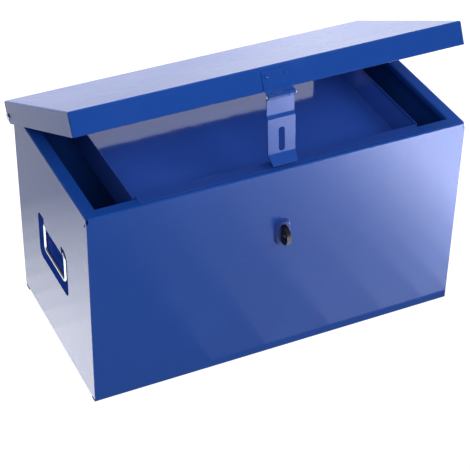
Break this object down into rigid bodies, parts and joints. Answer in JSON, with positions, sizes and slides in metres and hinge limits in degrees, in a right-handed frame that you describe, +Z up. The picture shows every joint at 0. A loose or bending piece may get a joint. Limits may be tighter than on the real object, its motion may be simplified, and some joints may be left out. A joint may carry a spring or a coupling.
{
  "type": "tool chest with tray",
  "caption": "Steel tool chest with a hinged lid, padlock hasp, recessed drop handles and a lift-off sliding tray across its top.",
  "frame": {"origin": "middle of the chest's base, on the surface that it stands on", "axes": "+Z up, X along the chest's long side, the front panel with the staple faces -Y"},
  "size_m": [0.6608, 0.3897, 0.5216],
  "materials": {
    "blue_paint": "glossy blue stove enamel on sheet steel",
    "lid_paint": "glossy blue stove enamel on sheet steel",
    "tray_paint": "glossy blue stove enamel on sheet steel",
    "hasp_paint": "glossy blue stove enamel on strip steel",
    "staple_paint": "blue enamel on pressed steel",
    "black_steel": "black oxide on hardened steel",
    "zinc_wire": "bright zinc plated steel wire",
    "zinc_rod": "zinc plated steel"
  },
  "bodies": {
    "root": {"front_panel": "blue_paint", "back_panel": "blue_paint", "left_end_panel": "blue_paint", "right_end_panel": "blue_paint", "floor_panel": "blue_paint", "left_handle_dish": "blue_paint", "right_handle_dish": "blue_paint", "left_bail_clip": "blue_paint", "right_bail_clip": "blue_paint", "left_hinge_bracket": "blue_paint", "centre_hinge_bracket": "blue_paint", "right_hinge_bracket": "blue_paint", "hinge_rivets": "blue_paint", "staple_plate": "staple_paint", "staple_loop": "black_steel"},
    "hinge_rod": {"hinge_rod": "zinc_rod", "rod_caps": "zinc_rod"},
    "lid": {"lid_pan": "lid_paint", "hasp_bracket": "hasp_paint", "hasp_rivets": "hasp_paint"},
    "hasp_pin": {"hasp_pin": "zinc_rod"},
    "hasp_strap": {"hasp_strap": "hasp_paint"},
    "left_bail": {"left_bail": "zinc_wire"},
    "right_bail": {"right_bail": "zinc_wire"},
    "tray": {"tray_pan": "tray_paint"}
  },
  "joints": [
    {"name": "lid_lower", "type": "hinge", "parent": "root", "child": "hinge_rod", "pos_m": [0, 0.181, 0.34], "axis": [-1, 0, 0], "range_deg": [-27.4, 0]},
    {"name": "lid_raise", "type": "hinge", "parent": "hinge_rod", "child": "lid", "pos_m": [0, 0.181, 0.34], "axis": [-1, 0, 0], "range_deg": [0, 72.6]},
    {"name": "hasp_follow", "type": "hinge", "parent": "lid", "child": "hasp_pin", "pos_m": [0, -0.145, 0.48601], "axis": [-1, 0, 0], "range_deg": [0, 68.5]},
    {"name": "hasp_swing", "type": "hinge", "parent": "hasp_pin", "child": "hasp_strap", "pos_m": [0, -0.145, 0.48601], "axis": [-1, 0, 0], "range_deg": [-45.9, 90]},
    {"name": "left_bail_swing", "type": "hinge", "parent": "root", "child": "left_bail", "pos_m": [-0.3207, 0.003, 0.2115], "axis": [0, 1, 0], "range_deg": [0, 100]},
    {"name": "right_bail_swing", "type": "hinge", "parent": "root", "child": "right_bail", "pos_m": [0.3207, 0.003, 0.2115], "axis": [0, -1, 0], "range_deg": [0, 100]},
    {"name": "tray_slide", "type": "slide", "parent": "root", "child": "tray", "axis": [1, 0, 0], "range_m": [-0.06, 0.05]}
  ],
  "couplings": [
    {"joint": "hasp_follow", "follows": "lid_lower", "ratio": -2.5}
  ]
}
